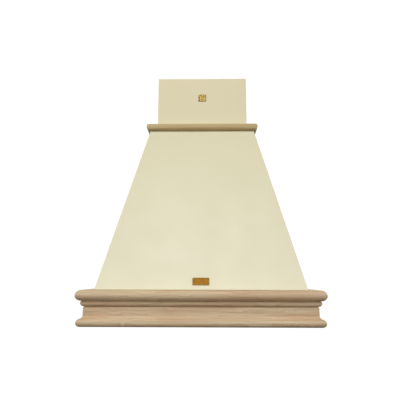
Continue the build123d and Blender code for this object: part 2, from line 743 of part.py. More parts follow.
def scroll_outline(inset):
    """Volute of four arcs about a small square, with its outlet straight up."""
    step = SCROLL_STEP / 2
    top = BOX_TOP - SHEET_T
    throat = scroll_throat + inset
    radii = [SCROLL_R - inset + i * SCROLL_STEP for i in range(4)]
    centres = [(fan_y - step, FAN_Z + step), (fan_y - step, FAN_Z - step),
               (fan_y + step, FAN_Z - step), (fan_y + step, FAN_Z + step)]
    start = degrees(acos((throat - centres[0][0]) / radii[0]))
    tongue = CenterArc(centres[0], radii[0], start, 90 - start)
    arcs = [CenterArc(centres[i], radii[i], 90 * i, 90) for i in (1, 2, 3)]
    outlet = Polyline(arcs[2] @ 1, (scroll_rear - inset, top), (throat, top), tongue @ 0)
    return Plane.YZ * make_face([tongue] + arcs + [outlet])


def scroll_wall():
    length = 2 * (SCROLL_HALF_W - SHEET_T)
    band = extrude(scroll_outline(0.0), length) - extrude(scroll_outline(SHEET_T), length)
    return Pos(-length / 2, 0, 0) * band


def scroll_side():
    """Right-hand cheek with its rolled inlet lip."""
    x0 = SCROLL_HALF_W - SHEET_T
    cheek = Pos(x0, 0, 0) * extrude(scroll_outline(0.0), SHEET_T)
    lip = rod_x(INLET_R + SHEET_T, x0 - INLET_LIP, x0 + SHEET_T, fan_y, FAN_Z)
    bore = rod_x(INLET_R, x0 - INLET_LIP, x0 + SHEET_T, fan_y, FAN_Z)
    return cheek + lip - bore


def polar(radius, angle):
    return (radius * cos(radians(angle)), radius * sin(radians(angle)))


def blade_section():
    """Forward-curved blade, as a strip between two arcs."""
    mid_r = (FAN_R + FAN_INNER_R) / 2
    tip_r = FAN_R - BLADE_T / 2
    lap = degrees(BLADE_T / mid_r)
    front = ThreePointArc(polar(FAN_INNER_R, 0), polar(mid_r, BLADE_BOW), polar(tip_r, -BLADE_SWEEP))
    back = ThreePointArc(polar(tip_r, lap - BLADE_SWEEP), polar(mid_r, lap + BLADE_BOW),
                         polar(FAN_INNER_R, lap))
    return make_face([front, Line(front @ 1, back @ 0), back, Line(back @ 1, front @ 0)])


def impeller():
    """Double-inlet squirrel-cage fan: middle disc, blades, two end rings and a hub."""
    reach = FAN_HALF_W - FAN_RING_W / 2           # blade ends are sunk in the end rings
    blade = Pos(-reach, 0, 0) * extrude(Plane.YZ * blade_section(), 2 * reach)
    wheel = rod_x(FAN_R, -FAN_DISC_T / 2, FAN_DISC_T / 2)
    wheel += [Rot(360 / BLADES * i, 0, 0) * blade for i in range(BLADES)]
    ring = rod_x(FAN_R, FAN_HALF_W - FAN_RING_W, FAN_HALF_W)
    ring -= rod_x(FAN_R - FAN_RING_T, FAN_HALF_W - FAN_RING_W, FAN_HALF_W)
    wheel += [ring, mirrored(ring), rod_x(HUB_R, -HUB_HALF_L, HUB_HALF_L)]
    wheel -= rod_x(SHAFT_R, -HUB_HALF_L, HUB_HALF_L)
    return Pos(0, fan_y, FAN_Z) * wheel


def motor_shaft():
    return rod_x(SHAFT_R, motor_end - SHAFT_IN_MOTOR, HUB_HALF_L, fan_y, FAN_Z)


def motor_body():
    """Round motor in the left inlet, with a boss and bore for the shaft."""
    body = rod_x(MOTOR_R, motor_end - MOTOR_L, motor_end)
    body = fillet(body.edges(), MOTOR_BOSS_L)
    body += rod_x(MOTOR_BOSS_R, motor_end - MOTOR_BOSS_L, motor_end + MOTOR_BOSS_L)
    bore = rod_x(SHAFT_R + SHAFT_FIT, motor_end - SHAFT_IN_MOTOR - SEAT_GAP,
                 motor_end + MOTOR_BOSS_L)
    return Pos(0, fan_y, FAN_Z) * (body - bore)


def motor_bracket():
    """Clamp ring with three arms that stand on the left cheek."""
    x1 = motor_end - MOTOR_L / 2
    x0 = x1 - CLAMP_W
    cheek = -SCROLL_HALF_W
    ring = rod_x(MOTOR_R + CLAMP_T, x0 - CLAMP_W, x0) - rod_x(MOTOR_R, x0 - CLAMP_W, x0)
    spoke = block(x0 - ARM_T, x0, -ARM_W / 2, ARM_W / 2, MOTOR_R + CLAMP_T / 2, ARM_FOOT_R)
    foot = block(x0 - ARM_T, cheek, -ARM_W / 2, ARM_W / 2, ARM_FOOT_R - ARM_FOOT_T, ARM_FOOT_R)
    bracket = ring
    for i in range(3):
        bracket += Rot(120 * i, 0, 0) * (spoke + foot)
    return Pos(0, fan_y, FAN_Z) * bracket


# --- duct collar and damper ---

def collar_screws():
    """Pan heads on the collar's flange, shanks through the motor box's top."""
    place = Pos(0, collar_y, collar_z) * Rot(0, 180, 0)
    return [place * spot * pan_screw(collar_z - BOX_TOP)
            for spot in PolarLocations(COLLAR_SCREW_R, 4, 45)]


def duct_collar(screws):
    top = collar_z + COLLAR_L
    collar = rod_upright(COLLAR_FLANGE_R, BOX_TOP, collar_z) + rod_upright(COLLAR_R, collar_z, top)
    collar -= rod_upright(COLLAR_R - COLLAR_T, BOX_TOP, top)
    collar -= rod_x(ROD_R, -COLLAR_R, COLLAR_R, z=rod_z)
    return Pos(0, collar_y, 0) * collar - screws


def damper_rod():
    reach = COLLAR_R - ROD_SHORT
    return rod_x(ROD_R, -reach, reach, collar_y, rod_z)


def damper_flap():
    """Rear half-round flap with two knuckles on the rod."""
    radius = COLLAR_R - COLLAR_T - FLAP_GAP
    half = FLAP_T / 2
    plate = rod_upright(radius, -half, half) & block(-radius, radius, FLAP_START, radius, -half, half)
    flap = plate
    for x in KNUCKLE_X:
        x0 = x - KNUCKLE_W / 2
        x1 = x + KNUCKLE_W / 2
        flap += rod_x(KNUCKLE_R, x0, x1)
        flap += block(x0, x1, 0, FLAP_START, -half, half)
    flap -= rod_x(ROD_R + KNUCKLE_FIT, -radius, radius)
    return flap


# --- electrics ---

def terminal_box():
    """Moulded box on the right side of the motor box, its lid marked off by a groove."""
    x1 = BOX_HALF_W + TERMINAL_X
    y0 = -TERMINAL_BACK - TERMINAL_Y
    z1 = TERMINAL_Z + TERMINAL_H
    body = block(BOX_HALF_W, x1, y0, -TERMINAL_BACK, TERMINAL_Z, z1)
    body = fillet(body.edges().filter_by(Axis.X), TERMINAL_CORNER)
    groove = block(x1 - LID_T - LID_GROOVE, x1 - LID_T, y0, -TERMINAL_BACK, TERMINAL_Z, z1)
    groove -= block(x1 - LID_T - LID_GROOVE, x1 - LID_T, y0 + LID_GROOVE,
                    -TERMINAL_BACK - LID_GROOVE, TERMINAL_Z + LID_GROOVE, z1 - LID_GROOVE)
    return body - groove


def cable_gland():
    """Hexagon, dome nut and bore, pointing at the wall."""
    nut = extrude(RegularPolygon(GLAND_HEX / 2, 6, major_radius=False), GLAND_HEX_T)
    cap = rod_upright(GLAND_R, GLAND_HEX_T, GLAND_HEX_T + GLAND_L)
    cap = fillet(cap.edges().group_by(Axis.Z)[-1], GLAND_DOME)
    gland = nut + cap - rod_upright(GLAND_BORE_R, 0, GLAND_HEX_T + GLAND_L)
    x = BOX_HALF_W + (TERMINAL_X - LID_T) / 2
    return Pos(x, -TERMINAL_BACK, TERMINAL_Z + TERMINAL_H / 2) * Rot(-90, 0, 0) * gland


def build():
    parts = {}
    screws = frame_screws()
    tray_fixings = tray_screws()
    front, left, right, rail = base_boards(screws, tray_fixings)
    parts["base_front_board"] = front
    parts["base_left_board"] = left
    parts["base_right_board"] = right
    parts["base_rear_rail"] = rail
    parts["frame_screws"] = Compound(screws)
    parts["corner_blocks"] = Compound(corner_blocks())
    parts["front_panel"] = front_panel()
    parts["right_side_panel"] = right_panel()
    parts["left_side_panel"] = mirrored(right_panel())
    parts["hanging_rail"] = hanging_rail()

    front, left, right = top_battens()
    parts["top_front_batten"] = front
    parts["top_left_batten"] = left
    parts["top_right_batten"] = right
    front, left, right = mitred_moulding(cornice_section(), half_w, DEPTH, CORNICE_T, 0, CORNICE_H)
    parts["cornice_front"] = front
    parts["cornice_left"] = left
    parts["cornice_right"] = right
    front, left, right = mitred_moulding(trim_section(), top_face_x + TRIM_NOSE,
                                         top_face_y + TRIM_NOSE, TOP_LEDGE + TRIM_NOSE,
                                         canopy_top, TRIM_H)
    parts["top_trim_front"] = front
    parts["top_trim_left"] = left
    parts["top_trim_right"] = right
    parts["brass_badge"] = badge_plate()

    screws = chimney_screws()
    front, left, right = chimney_boards(screws)
    parts["chimney_front"] = front
    parts["chimney_left_side"] = left
    parts["chimney_right_side"] = right
    parts["chimney_bracket"] = chimney_bracket(screws)
    parts["chimney_screws"] = Compound(screws)
    parts["chimney_emblem"] = emblem_plate()

    parts["liner_tray"] = liner_tray(tray_fixings)
    parts["tray_screws"] = Compound(tray_fixings)
    for name, piece in (("filter_frame", filter_frame()), ("filter_mesh", filter_mesh()),
                        ("filter_latch", filter_latch()), ("lamp_bezel", lamp_bezel()),
                        ("lamp_lens", lamp_lens())):
        parts["right_" + name] = piece
        parts["left_" + name] = mirrored(piece)
    parts["button_bezel"] = button_bezel()
    parts["switch_block"] = switch_block()
    for name, x in zip(BUTTON_NAMES, button_places()):
        parts[name] = push_button(x)

    screws = collar_screws()
    parts["motor_box"] = motor_box(screws)
    parts["scroll_wall"] = scroll_wall()
    parts["scroll_right_side"] = scroll_side()
    parts["scroll_left_side"] = mirrored(scroll_side())
    parts["impeller"] = impeller()
    parts["motor_shaft"] = motor_shaft()
    parts["motor_body"] = motor_body()
    parts["motor_bracket"] = motor_bracket()
    parts["duct_collar"] = duct_collar(screws)
    parts["collar_screws"] = Compound(screws)
    parts["damper_rod"] = damper_rod()
    hinge = Pos(0, collar_y, rod_z)
    parts["rear_damper_flap"] = hinge * damper_flap()
    parts["front_damper_flap"] = hinge * Rot(0, 0, 180) * damper_flap()
    parts["terminal_box"] = terminal_box()
    parts["cable_gland"] = cable_gland()
    return parts


os.makedirs("parts", exist_ok=True)
for node, shape in build().items():
    export_step(shape, f"parts/{node}.step")
print("fan axis", fan_y, FAN_Z, "collar", collar_y, collar_z, "damper rod", rod_z)
print("filter hinge", filter_rear + HINGE_BACK, seat_z, "strip", strip_y, "chimney top", chimney_top)
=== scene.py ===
import json
import math

import bmesh
import bpy
from mathutils import Euler, Matrix, Vector


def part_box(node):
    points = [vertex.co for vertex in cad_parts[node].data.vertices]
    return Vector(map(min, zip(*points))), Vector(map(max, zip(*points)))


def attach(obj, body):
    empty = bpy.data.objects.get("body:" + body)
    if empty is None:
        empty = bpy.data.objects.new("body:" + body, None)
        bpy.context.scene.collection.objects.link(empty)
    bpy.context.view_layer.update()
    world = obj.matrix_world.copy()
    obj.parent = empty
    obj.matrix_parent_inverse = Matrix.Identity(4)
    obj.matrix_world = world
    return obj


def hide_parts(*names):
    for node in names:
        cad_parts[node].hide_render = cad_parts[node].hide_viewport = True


# Looks of a wooden range hood cover with its extractor insert. Metres, in the part's own frame:
# Z up, the wall at Y = 0, the front facing -Y and the underside of the cornice at Z = 0.

MM = 0.001

# --- camera, fitted to the photograph ---
CAMERA_PLACE = (0.0174, -1.581, 0.1149)
CAMERA_PITCH = 9.93         # degrees above level
CAMERA_YAW = 1.01           # degrees to the left
CAMERA_ROLL = 0.12
LENS = 40.22                # on a 36 mm sensor

# --- cornice section, as in the part ---
TOP_BEAD_R = 13 * MM
QUIRK_H = 1.8 * MM
OVOLO_R = 8 * MM
OVOLO_INSET = 11 * MM
OVOLO_FLAT = 3.4 * MM
FASCIA_QUIRK_H = 1.5 * MM
FASCIA_QUIRK_D = 2 * MM
FASCIA_INSET = 16.8 * MM
COVE_R = 8 * MM
BASE_BEAD_R = 9.8 * MM
BASE_BEAD_INSET = 3.5 * MM
CORNICE_T = 34 * MM
TRIM_FULLNESS = 0.77        # 1 is a plain half round, 0 a square edge

# --- edges ---
PANEL_T = 10 * MM
SHARP = math.radians(28)
EASE = {"painted_board": 0.6 * MM, "carcass_wood": 0.5 * MM, "raw_beech": 0.35 * MM,
        "brass_plate": 0.25 * MM, "stainless_sheet": 0.2 * MM, "galvanised_sheet": 0.2 * MM,
        "filter_aluminium": 0.3 * MM, "latch_plastic": 0.5 * MM, "lamp_chrome": 0.25 * MM,
        "black_plastic": 0.4 * MM, "button_plastic": 0.3 * MM, "motor_steel": 0.3 * MM,
        "zinc_screws": 0.15 * MM, "fan_steel": 0.12 * MM, "shaft_steel": 0.2 * MM}

# --- pieces that stand in for plain nodes ---
MESH_PITCH_X = 13.0 * MM    # long way of one opening in the expanded metal
MESH_PITCH_Y = 6.4 * MM
MESH_BAR = 1.3 * MM
MESH_SHEET = 0.5 * MM
MESH_TILT = math.radians(38)
MESH_MARGIN = 2 * MM        # weave to the edge of the mesh pack
LATCH_ROOM_X = 7 * MM       # weave left free beside a latch
LATCH_ROOM_Y = 9.5 * MM     # and behind it, over its whole travel
MESH_LAYERS = ((0.12, 1.0, 0.0), (0.5, 0.8, 0.5), (0.88, 1.0, 0.25))    # depth, pitch, shift
LENS_BULGE = 1.2 * MM
REFLECTOR_T = 0.8 * MM
LED_R = 9 * MM
MARK_DEPTH = 0.06 * MM      # printed marks stand this much proud of the button
PIP_R = 0.75 * MM
PIP_PITCH = 3.0 * MM
RING_R = 1.9 * MM
RING_W = 0.6 * MM
RAYS = 8
MOTOR_STATOR = (-62 * MM, -36 * MM)
MOTOR_SLOTS = 8
MOTOR_SLOT_DEPTH = 4 * MM
MOTOR_PLATES = 13           # laminations of the stator
MOTOR_ROUND = 3 * MM        # rounded shoulders of the end bells
RIVET_R = 2.0 * MM
RIVET_PITCH = 32 * MM
RIVET_ROWS = 5
RIVET_X = 140 * MM          # each column of rivets from the centre line
RIVET_Z = 108 * MM          # lowest rivet
SCREW_HEAD_H = 2 * MM
BADGE_STEP = 0.6 * MM       # badge field below its rim

# --- colours, linear ---
CANOPY_IVORY_AND_SHADE = ((0.807, 0.77, 0.564), (0.746, 0.703, 0.475))    # low on the board, and high, where it is darker and yellower as painted shade
# chimney paint: lighter than the canopy's as painted light, making up for the upright board taking
# less light; darker and yellower high up as painted shade
CHIMNEY_IVORY_LIT_AND_SHADED = ((0.817, 0.764, 0.529), (0.80, 0.721, 0.473))
CANOPY_SHADE_SPAN = (0.12, 0.56)  # heights between which painted shade darkens and yellows the paint
CHIMNEY_SHADE_SPAN = (0.56, 0.74)
RAW_BOARD = (0.42, 0.30, 0.18)
BEECH = {"light": (0.736, 0.575, 0.387), "mid": (0.641, 0.481, 0.297),
         "dark": (0.396, 0.255, 0.132), "warm": (0.632, 0.429, 0.259)}
# beech for the top trim: a yellower copy of the cornice beech, darkened as painted shade
TRIM_BEECH_SHADED = {"light": (0.612, 0.481, 0.245), "mid": (0.551, 0.424, 0.206),
              "dark": (0.385, 0.271, 0.123), "warm": (0.56, 0.411, 0.193)}
PINE = {"light": (0.62, 0.47, 0.28), "mid": (0.55, 0.39, 0.21), "dark": (0.38, 0.235, 0.11),
        "warm": (0.58, 0.38, 0.18)}
BRASS = (0.52, 0.38, 0.10)
BRASS_DARK = (0.13, 0.09, 0.022)
BADGE_RIM = (0.33, 0.205, 0.035)
AMBER = (0.35, 0.152, 0.008)
ZINC = (0.56, 0.58, 0.59)
STEEL = (0.60, 0.60, 0.585)
ALUMINIUM = (0.68, 0.69, 0.69)
CHROME = (0.74, 0.74, 0.73)

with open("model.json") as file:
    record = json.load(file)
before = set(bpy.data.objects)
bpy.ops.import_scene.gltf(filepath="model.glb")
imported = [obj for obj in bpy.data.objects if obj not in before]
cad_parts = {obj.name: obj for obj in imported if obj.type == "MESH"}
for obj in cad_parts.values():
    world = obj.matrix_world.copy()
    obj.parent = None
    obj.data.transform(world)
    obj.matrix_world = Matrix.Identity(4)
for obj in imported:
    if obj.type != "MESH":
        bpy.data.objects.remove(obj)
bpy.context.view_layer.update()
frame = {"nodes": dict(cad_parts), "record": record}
nodes = frame["nodes"]
subparts = frame["record"]["subparts"]
slot_of = {row["node"]: row["material_slot"] for row in subparts}


# ---------------------------------------------------------------- shader helpers

def add(tree, kind, inputs=None, **settings):
    """One node; an input is a value or another node's output."""
    node = tree.nodes.new(kind)
    for key, value in settings.items():
        setattr(node, key, value)
    for key, value in (inputs or {}).items():
        if isinstance(value, bpy.types.NodeSocket):
            tree.links.new(value, node.inputs[key])
        else:
            node.inputs[key].default_value = value
    return node


def calc(tree, operation, a, b=0.0):
    return add(tree, "ShaderNodeMath", {0: a, 1: b}, operation=operation).outputs[0]


def mix(tree, factor, a, b, blend="MIX"):
    ends = [(*end, 1.0) if isinstance(end, tuple) else end for end in (a, b)]
    return add(tree, "ShaderNodeMix", {0: factor, 6: ends[0], 7: ends[1]}, data_type="RGBA",
               blend_type=blend).outputs[2]


def remap(tree, value, low, high, to_low=0.0, to_high=1.0):
    return add(tree, "ShaderNodeMapRange", {0: value, 1: low, 2: high, 3: to_low, 4: to_high},
               clamp=True).outputs[0]


def place(tree, scale=(1, 1, 1), offset=(0, 0, 0), turn=(0, 0, 0)):
    """Object coordinates, stretched and shifted."""
    source = add(tree, "ShaderNodeTexCoord").outputs["Object"]
    return add(tree, "ShaderNodeMapping", {"Vector": source, "Location": offset,
                                           "Rotation": turn, "Scale": scale}).outputs[0]


def even(scale):
    return (scale, scale, scale)


def stretched(axis, along, across):
    """Scale that differs along one axis."""
    return tuple(along if letter == axis else across for letter in "XYZ")


def noise(tree, vector, detail=2.0, rough=0.5, twist=0.0):
    return add(tree, "ShaderNodeTexNoise", {"Vector": vector, "Scale": 1.0, "Detail": detail,
                                            "Roughness": rough, "Distortion": twist}).outputs[0]


def length_of(tree, vector):
    return add(tree, "ShaderNodeVectorMath", {0: vector}, operation="LENGTH").outputs["Value"]


def tint(colour, factor):
    return tuple(min(1.0, c * factor) for c in colour)


def new_material(name, specular=0.5, metal=0.0):
    mat = bpy.data.materials.new(name)
    mat.use_nodes = True
    tree = mat.node_tree
    shader = tree.nodes["Principled BSDF"]
    shader.inputs["Specular IOR Level"].default_value = specular
    shader.inputs["Metallic"].default_value = metal
    return mat, tree, shader


def finish_shader(tree, shader, colour, roughness, height, distance, strength=0.5):
    """Colour, roughness and bump into the surface shader."""
    tree.links.new(colour, shader.inputs["Base Color"])
    tree.links.new(roughness, shader.inputs["Roughness"])
    relief = add(tree, "ShaderNodeBump", {"Height": height, "Distance": distance,
                                          "Strength": strength})
    tree.links.new(relief.outputs[0], shader.inputs["Normal"])


# ---------------------------------------------------------------- materials

def wood(name, axis, tones, pith, ring, late_wood, flecks):
    """Solid wood with its grain along axis: growth rings about a pith line, fibres and rays."""
    mat, tree, shader = new_material(name, specular=0.5)
    across = tuple(0.0 if letter == axis else 1.0 for letter in "XYZ")
    spoke = place(tree, across, tuple(-p * a for p, a in zip(pith, across)))
    wander = noise(tree, place(tree, stretched(axis, 9, 22)), twist=0.8)
    reach = calc(tree, "ADD", length_of(tree, spoke), calc(tree, "MULTIPLY", wander, 26 * MM))
    growth = calc(tree, "POWER", calc(tree, "FRACT", calc(tree, "DIVIDE", reach, ring)), 3.2)
    fibres = noise(tree, place(tree, stretched(axis, 16, 1500)), detail=4.0, rough=0.65)
    bands = noise(tree, place(tree, stretched(axis, 3.0, 95)), detail=3.0)
    clouds = noise(tree, place(tree, stretched(axis, 4.5, 26), (3.1, 1.7, 0.4)))
    streaks = noise(tree, place(tree, stretched(axis, 5, 170), (0.7, 2.3, 1.9)), detail=3.0)
    colour = mix(tree, remap(tree, bands, 0.36, 0.66), tones["light"], tones["mid"])
    colour = mix(tree, remap(tree, clouds, 0.44, 0.62, 0.0, 0.9), colour, tones["warm"])
    colour = mix(tree, remap(tree, streaks, 0.56, 0.70, 0.0, 0.35), colour, tones["dark"])
    colour = mix(tree, calc(tree, "MULTIPLY", growth, late_wood), colour, tones["dark"])
    cells = add(tree, "ShaderNodeTexVoronoi", {"Vector": place(tree, stretched(axis, 230, 1250)),
                                               "Scale": 1.0}).outputs
    core = remap(tree, cells["Distance"], 0.16, 0.30, 1.0, 0.0)
    pick = add(tree, "ShaderNodeSeparateColor", {0: cells["Color"]}).outputs[0]
    ray = calc(tree, "MULTIPLY", core, calc(tree, "GREATER_THAN", pick, 0.55))
    colour = mix(tree, calc(tree, "MULTIPLY", ray, flecks), colour, tones["dark"])
    shade = remap(tree, fibres, 0.3, 0.7, 0.90, 1.07)
    grey = add(tree, "ShaderNodeCombineColor", {0: shade, 1: shade, 2: shade}).outputs[0]
    colour = mix(tree, 1.0, colour, grey, "MULTIPLY")
    height = calc(tree, "SUBTRACT", fibres, calc(tree, "MULTIPLY", ray, 0.6))
    finish_shader(tree, shader, colour, remap(tree, fibres, 0.3, 0.7, 0.62, 0.50), height,
                  0.10 * MM, 0.5)
    return mat


def painted(name, tones, low, high, outward, point):
    """Satin paint on fibreboard, darker and yellower towards the top as painted shade; the back of the
    board is left raw.
    """
    mat, tree, shader = new_material(name, specular=0.42)
    depth = add(tree, "ShaderNodeVectorMath", {0: place(tree), 1: outward},
                operation="DOT_PRODUCT").outputs["Value"]
    surface = outward.dot(point)
    back = calc(tree, "LESS_THAN", depth, surface - PANEL_T + 0.7 * MM)
    level = add(tree, "ShaderNodeSeparateXYZ", {0: place(tree)}).outputs[2]
    cloud = calc(tree, "MULTIPLY", calc(tree, "SUBTRACT", noise(tree, place(tree, even(3))), 0.5), 0.7)
    # painted shade: the paint darkens and yellows with height, mottled by a random cloud
    shade_and_mottle = remap(tree, calc(tree, "ADD", remap(tree, level, low, high), cloud), 0.0, 1.0)
    paint = mix(tree, shade_and_mottle, *tones)
    speck = noise(tree, place(tree, even(900)), detail=3.0, rough=0.7)
    fibre = noise(tree, place(tree, stretched("Z", 14, 60), turn=(0.4, 0.2, 0.1)), detail=4.0,
                  rough=0.7)
    board = mix(tree, remap(tree, speck, 0.35, 0.7), RAW_BOARD, tint(RAW_BOARD, 0.72))
    board = mix(tree, remap(tree, fibre, 0.45, 0.7, 0.0, 0.5), board, tint(RAW_BOARD, 1.25))
    satin = remap(tree, noise(tree, place(tree, even(14))), 0.3, 0.7, 0.40, 0.48)
    roughness = calc(tree, "MAXIMUM", satin, calc(tree, "MULTIPLY", back, 0.85))
    peel = calc(tree, "MULTIPLY", noise(tree, place(tree, even(420))), 0.35)
    height = calc(tree, "ADD", peel, calc(tree, "MULTIPLY", speck, back))
    finish_shader(tree, shader, mix(tree, back, paint, board), roughness, height, 0.05 * MM)
    return mat


def brushed(name, colour, axis="X", roughness=0.34, streak=0.12):
    """Metal with fine brush marks along one axis."""
    mat, tree, shader = new_material(name, metal=1.0)
    lines = noise(tree, place(tree, stretched(axis, 9, 2600)), detail=3.0, rough=0.7)
    smear = noise(tree, place(tree, even(9)), detail=3.0)
    tone = mix(tree, remap(tree, lines, 0.3, 0.7), tint(colour, 1 - streak),
               tint(colour, 1 + streak))
    satin = remap(tree, smear, 0.3, 0.7, roughness - 0.04, roughness + 0.06)
    satin = calc(tree, "ADD", satin, remap(tree, lines, 0.3, 0.7, -0.05, 0.05))
    finish_shader(tree, shader, tone, satin, lines, 0.02 * MM)
    return mat


def galvanised(name, colour):
    """Zinc-coated sheet with its crystal spangle."""
    mat, tree, shader = new_material(name, metal=1.0)
    cells = add(tree, "ShaderNodeTexVoronoi", {"Vector": place(tree, even(95)), "Scale": 1.0})
    grain = add(tree, "ShaderNodeSeparateColor", {0: cells.outputs["Color"]}).outputs[0]
    haze = noise(tree, place(tree, even(22)), detail=4.0)
    tone = mix(tree, grain, tint(colour, 0.80), tint(colour, 1.08))
    tone = mix(tree, remap(tree, haze, 0.45, 0.75, 0.0, 0.45), tone, tint(colour, 0.68))
    finish_shader(tree, shader, tone, remap(tree, grain, 0.0, 1.0, 0.36, 0.56), haze, 0.03 * MM)
    return mat


def moulded(name, colour, roughness=0.5, texture=0.05):
    """Moulded plastic or enamel with a fine texture and a trace of dust."""
    mat, tree, shader = new_material(name)
    spark = noise(tree, place(tree, even(2400)))
    dust = noise(tree, place(tree, even(30)), detail=3.0)
    tone = mix(tree, remap(tree, dust, 0.4, 0.7), colour, tint(tuple(c + 0.004 for c in colour), 1.1))
    satin = remap(tree, dust, 0.3, 0.7, roughness - 0.04, roughness + 0.05)
    finish_shader(tree, shader, tone, satin, spark, texture * MM)
    return mat


def brass(name, clear, toned):
    """Polished brass, toned in patches, with fine scratches."""
    mat, tree, shader = new_material(name, metal=0.6)
    patch = noise(tree, place(tree, even(190)), detail=4.0)
    scratch = noise(tree, place(tree, stretched("X", 90, 4200)), detail=3.0, rough=0.7)
    tone = mix(tree, remap(tree, patch, 0.44, 0.60), clear, toned)
    finish_shader(tree, shader, tone, remap(tree, scratch, 0.3, 0.7, 0.24, 0.36), scratch,
                  0.01 * MM, 0.4)
    return mat


def badge_brass(name, outward, point, rim_depth):
    """Dark toned rim and an amber lacquered field, told apart by depth below the face."""
    mat, tree, shader = new_material(name, specular=0.2, metal=0.4)
    depth = add(tree, "ShaderNodeVectorMath", {0: place(tree), 1: outward},
                operation="DOT_PRODUCT").outputs["Value"]
    surface = outward.dot(point)
    rim = remap(tree, depth, surface - rim_depth * 0.8, surface - rim_depth * 0.4)
    patch = noise(tree, place(tree, even(190)), detail=4.0)
    scratch = noise(tree, place(tree, stretched("X", 60, 4200)), detail=3.0, rough=0.7)
    edge = mix(tree, remap(tree, patch, 0.35, 0.7), BADGE_RIM, tint(BADGE_RIM, 0.7))
    field = mix(tree, remap(tree, patch, 0.35, 0.7), AMBER, tint(AMBER, 0.7))
    finish_shader(tree, shader, mix(tree, rim, field, edge),
                  remap(tree, scratch, 0.3, 0.7, 0.50, 0.60), scratch, 0.01 * MM, 0.4)
    return mat


def fluted_glass(name, centre_x, centre_y):
    """Frosted lens with rings about its centre; both lamps share it by symmetry."""
    mat, tree, shader = new_material(name)
    shader.inputs["Transmission Weight"].default_value = 0.8
    shader.inputs["IOR"].default_value = 1.46
    shader.inputs["Base Color"].default_value = (0.93, 0.94, 0.93, 1.0)
    folded = add(tree, "ShaderNodeVectorMath", {0: place(tree)}, operation="ABSOLUTE").outputs[0]
    centre = (abs(centre_x), abs(centre_y), 0.0)
    spoke = add(tree, "ShaderNodeVectorMath", {0: folded, 1: centre},
                operation="SUBTRACT").outputs[0]
    flat = add(tree, "ShaderNodeVectorMath", {0: spoke, 1: (1.0, 1.0, 0.0)},
               operation="MULTIPLY").outputs[0]
    rings = calc(tree, "SINE", calc(tree, "MULTIPLY", length_of(tree, flat), 2 * math.pi / (2 * MM)))
    frost = noise(tree, place(tree, even(1500)))
    height = calc(tree, "ADD", calc(tree, "MULTIPLY", rings, 4.0), frost)
    tree.links.new(remap(tree, frost, 0.3, 0.7, 0.22, 0.36), shader.inputs["Roughness"])
    relief = add(tree, "ShaderNodeBump", {"Height": height, "Distance": 0.05 * MM,
                                          "Strength": 0.6})
    tree.links.new(relief.outputs[0], shader.inputs["Normal"])
    return mat


def phosphor(name):
    """Unlit LED: yellow phosphor dots on a pale board."""
    mat, tree, shader = new_material(name)
    cells = add(tree, "ShaderNodeTexVoronoi", {"Vector": place(tree, even(420)), "Scale": 1.0})
    dots = remap(tree, cells.outputs["Distance"], 0.30, 0.36, 1.0, 0.0)
    haze = noise(tree, place(tree, even(300)))
    tone = mix(tree, dots, (0.62, 0.60, 0.55), (0.80, 0.60, 0.08))
    finish_shader(tree, shader, tone, remap(tree, haze, 0.3, 0.7, 0.35, 0.5), dots, 0.1 * MM)
    return mat


BEECH_PITH = (-0.41, -0.62, -0.11)
beech_x = wood("beech_across", "X", BEECH, BEECH_PITH, 8 * MM, 0.45, 0.5)
beech_y = wood("beech_deep", "Y", BEECH, BEECH_PITH, 8 * MM, 0.45, 0.5)
# trim beech: darker tones as painted shade
trim_x = wood("trim_across", "X", TRIM_BEECH_SHADED, BEECH_PITH, 8 * MM, 0.3, 0.5)
trim_y = wood("trim_deep", "Y", TRIM_BEECH_SHADED, BEECH_PITH, 8 * MM, 0.3, 0.5)
PINE_PITH = (0.10, -0.30, 0.03)
pine_x = wood("pine_across", "X", PINE, PINE_PITH, 4.6 * MM, 0.65, 0.15)
pine_y = wood("pine_deep", "Y", PINE, PINE_PITH, 4.6 * MM, 0.65, 0.15)
zinc = galvanised("galvanised", ZINC)
aluminium = brushed("aluminium", ALUMINIUM, "Y", 0.36, 0.06)
screw_steel = brushed("screw_steel", STEEL, "Z", 0.34, 0.05)
chrome = brushed("satin_chrome", CHROME, "X", 0.20, 0.03)
enamel = moulded("motor_enamel", (0.03, 0.032, 0.035), 0.42, 0.03)
black = moulded("black_plastic", (0.018, 0.018, 0.019), 0.48)
dark_mark = moulded("printed_mark", (0.03, 0.03, 0.032), 0.55, 0.01)

FINISH = {
    "carcass_wood": pine_y, "brass_plate": brass("brass", BRASS, BRASS_DARK),
    "stainless_sheet": brushed("stainless", STEEL, "X", 0.30), "galvanised_sheet": zinc,
    "zinc_screws": screw_steel, "filter_aluminium": aluminium, "latch_plastic": black,
    "lamp_chrome": chrome, "black_plastic": black,
    "button_plastic": moulded("ivory_plastic", (0.70, 0.68, 0.60), 0.28, 0.01),
    "fan_steel": galvanised("fan_zinc", ZINC), "motor_steel": enamel,
    "shaft_steel": brushed("ground_steel", STEEL, "X", 0.24, 0.05),
}
GRAIN_ACROSS = ("base_front_board", "base_rear_rail", "hanging_rail", "top_front_batten",
                "corner_blocks")


# ---------------------------------------------------------------- mesh helpers

def arc(centre, radius, start, sweep, steps):
    """Points along an arc, in (inset, height) or (radius, height); angles anticlockwise."""
    angles = [math.radians(start + sweep * i / steps) for i in range(steps + 1)]
    return [(centre[0] + radius * math.cos(a), centre[1] + radius * math.sin(a)) for a in angles]


def soften(bm):
    """Smooth shading with hard edges where faces meet at an angle."""
    for face in bm.faces:
        face.smooth = True
    for edge in bm.edges:
        edge.smooth = edge.is_manifold and edge.calc_face_angle(0.0) < SHARP


